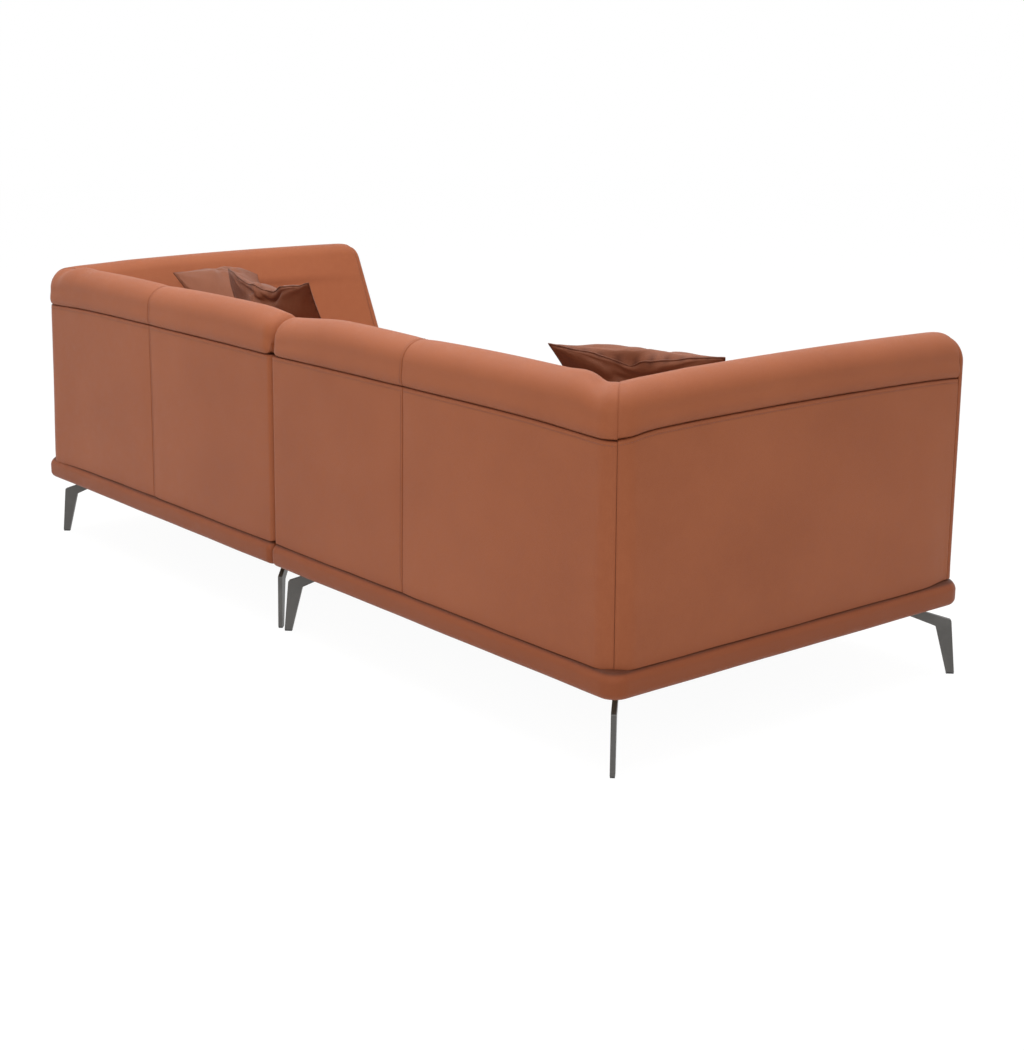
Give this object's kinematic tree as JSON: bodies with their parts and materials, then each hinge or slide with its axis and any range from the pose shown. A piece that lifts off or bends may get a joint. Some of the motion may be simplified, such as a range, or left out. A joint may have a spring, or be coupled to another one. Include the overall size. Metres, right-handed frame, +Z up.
{
  "type": "modular sofa",
  "caption": "Modular leather sofa of two arm modules with sloping padded back, slim padded base and bent blade legs, three throw pillows",
  "frame": {"origin": "on the floor, at the middle of the footprint", "axes": "+Z up, the seat faces -Y, +X runs along the length from the left module to the right one"},
  "size_m": [2.314, 0.984, 0.7346],
  "materials": {
    "leather": "semi-matt grained aniline leather with stitched seams",
    "pillow_leather": "soft matt leather with piped edge",
    "leg_metal": "satin gunmetal powder coat",
    "frame_wood": "planed unfinished timber",
    "webbing": "woven elastic webbing",
    "lining": "black non-woven lining cloth",
    "foam": "open-cell foam and fibre filling",
    "screw_steel": "zinc-plated steel",
    "bracket_steel": "black coated sheet steel",
    "glide_rubber": "hard black rubber"
  },
  "bodies": {
    "left_module": {"left_base_frame": "frame_wood", "left_back_frame": "frame_wood", "left_arm_frame": "frame_wood", "left_seat_webbing": "webbing", "left_back_webbing": "webbing", "left_seat_deck": "lining", "left_dust_cover": "lining", "left_base_pad": "leather", "left_back_panel_inner": "leather", "left_back_panel_corner": "leather", "left_arm_panel": "leather", "left_arm_front_panel": "leather", "left_back_pad_inner": "leather", "left_back_pad_corner": "leather", "left_arm_pad": "leather", "left_leg_glides": "glide_rubber", "left_screws": "screw_steel", "left_leg_back_corner": "leg_metal", "left_leg_front_corner": "leg_metal", "left_leg_back_joint": "leg_metal", "left_leg_front_joint": "leg_metal", "left_connector_receivers": "bracket_steel"},
    "right_module": {"right_base_frame": "frame_wood", "right_back_frame": "frame_wood", "right_arm_frame": "frame_wood", "right_seat_webbing": "webbing", "right_back_webbing": "webbing", "right_seat_deck": "lining", "right_dust_cover": "lining", "right_base_pad": "leather", "right_back_panel_inner": "leather", "right_back_panel_corner": "leather", "right_arm_panel": "leather", "right_arm_front_panel": "leather", "right_back_pad_inner": "leather", "right_back_pad_corner": "leather", "right_arm_pad": "leather", "right_leg_glides": "glide_rubber", "right_screws": "screw_steel", "right_leg_back_corner": "leg_metal", "right_leg_front_corner": "leg_metal", "right_leg_back_joint": "leg_metal", "right_leg_front_joint": "leg_metal", "right_connector_tongues": "bracket_steel"},
    "left_seat_cushion": {"left_seat_cover": "leather", "left_seat_core": "foam"},
    "right_seat_cushion": {"right_seat_cover": "leather", "right_seat_core": "foam"},
    "left_corner_pillow": {"left_corner_pillow_filled": "pillow_leather"},
    "right_corner_pillow": {"right_corner_pillow_filled": "pillow_leather"},
    "right_front_pillow": {"right_front_pillow_filled": "pillow_leather"}
  },
  "joints": [
    {"name": "modules_apart", "type": "slide", "parent": "left_module", "child": "right_module", "axis": [1, 0, 0], "range_m": [0, 0.4]},
    {"name": "left_seat_lift", "type": "slide", "parent": "left_module", "child": "left_seat_cushion", "axis": [0, 0, 1], "range_m": [0, 0.55]},
    {"name": "right_seat_lift", "type": "slide", "parent": "right_module", "child": "right_seat_cushion", "axis": [0, 0, 1], "range_m": [0, 0.55]},
    {"name": "left_corner_pillow_lift", "type": "slide", "parent": "left_seat_cushion", "child": "left_corner_pillow", "axis": [0, 0, 1], "range_m": [0, 0.4]},
    {"name": "right_corner_pillow_lift", "type": "slide", "parent": "right_seat_cushion", "child": "right_corner_pillow", "axis": [0, 0, 1], "range_m": [0, 0.4]},
    {"name": "right_front_pillow_lift", "type": "slide", "parent": "right_corner_pillow", "child": "right_front_pillow", "axis": [0, 0, 1], "range_m": [0, 0.4]}
  ]
}
